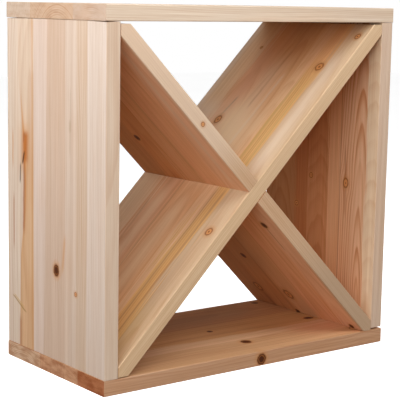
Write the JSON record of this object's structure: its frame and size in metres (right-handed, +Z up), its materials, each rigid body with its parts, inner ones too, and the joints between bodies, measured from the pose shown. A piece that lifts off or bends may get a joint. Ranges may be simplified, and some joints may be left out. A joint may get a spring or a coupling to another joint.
{
  "type": "wine rack",
  "caption": "Square open wooden case with a loose crossed divider that makes triangular cells for lying wine bottles.",
  "frame": {"origin": "middle of the underside of the bottom board", "axes": "+X to the right seen from the open front, +Y to the rear along the bottles, +Z up"},
  "size_m": [0.5, 0.25, 0.5],
  "materials": {
    "fir_top": "sanded, unvarnished, edge-glued fir, pale",
    "fir_bottom": "sanded, unvarnished, edge-glued fir, red-brown",
    "fir_left": "sanded, unvarnished, edge-glued fir, pale with resin streaks",
    "fir_right": "sanded, unvarnished, edge-glued fir, red-brown",
    "fir_rising": "sanded, unvarnished, edge-glued fir, golden, knotty",
    "fir_falling": "sanded, unvarnished, edge-glued fir, knotty",
    "beech_dowel": "turned and fluted, raw",
    "zinc_steel": "bright zinc plated"
  },
  "bodies": {
    "case": {"top_panel": "fir_top", "bottom_panel": "fir_bottom", "left_side_panel": "fir_left", "right_side_panel": "fir_right", "screw_top_left_front": "zinc_steel", "screw_top_left_middle": "zinc_steel", "screw_top_left_rear": "zinc_steel", "screw_top_right_front": "zinc_steel", "screw_top_right_middle": "zinc_steel", "screw_top_right_rear": "zinc_steel", "screw_bottom_left_front": "zinc_steel", "screw_bottom_left_middle": "zinc_steel", "screw_bottom_left_rear": "zinc_steel", "screw_bottom_right_front": "zinc_steel", "screw_bottom_right_middle": "zinc_steel", "screw_bottom_right_rear": "zinc_steel", "dowel_top_left_front": "beech_dowel", "dowel_top_left_rear": "beech_dowel", "dowel_top_right_front": "beech_dowel", "dowel_top_right_rear": "beech_dowel", "dowel_bottom_left_front": "beech_dowel", "dowel_bottom_left_rear": "beech_dowel", "dowel_bottom_right_front": "beech_dowel", "dowel_bottom_right_rear": "beech_dowel"},
    "falling_divider": {"divider_board_falling": "fir_falling"},
    "rising_divider": {"divider_board_rising": "fir_rising"}
  },
  "joints": [
    {"name": "falling_divider_slide", "type": "slide", "parent": "case", "child": "falling_divider", "axis": [0, -1, 0], "range_m": [-0.27, 0.27]},
    {"name": "rising_divider_slide", "type": "slide", "parent": "falling_divider", "child": "rising_divider", "axis": [0, -1, 0], "range_m": [0, 0.27]}
  ]
}
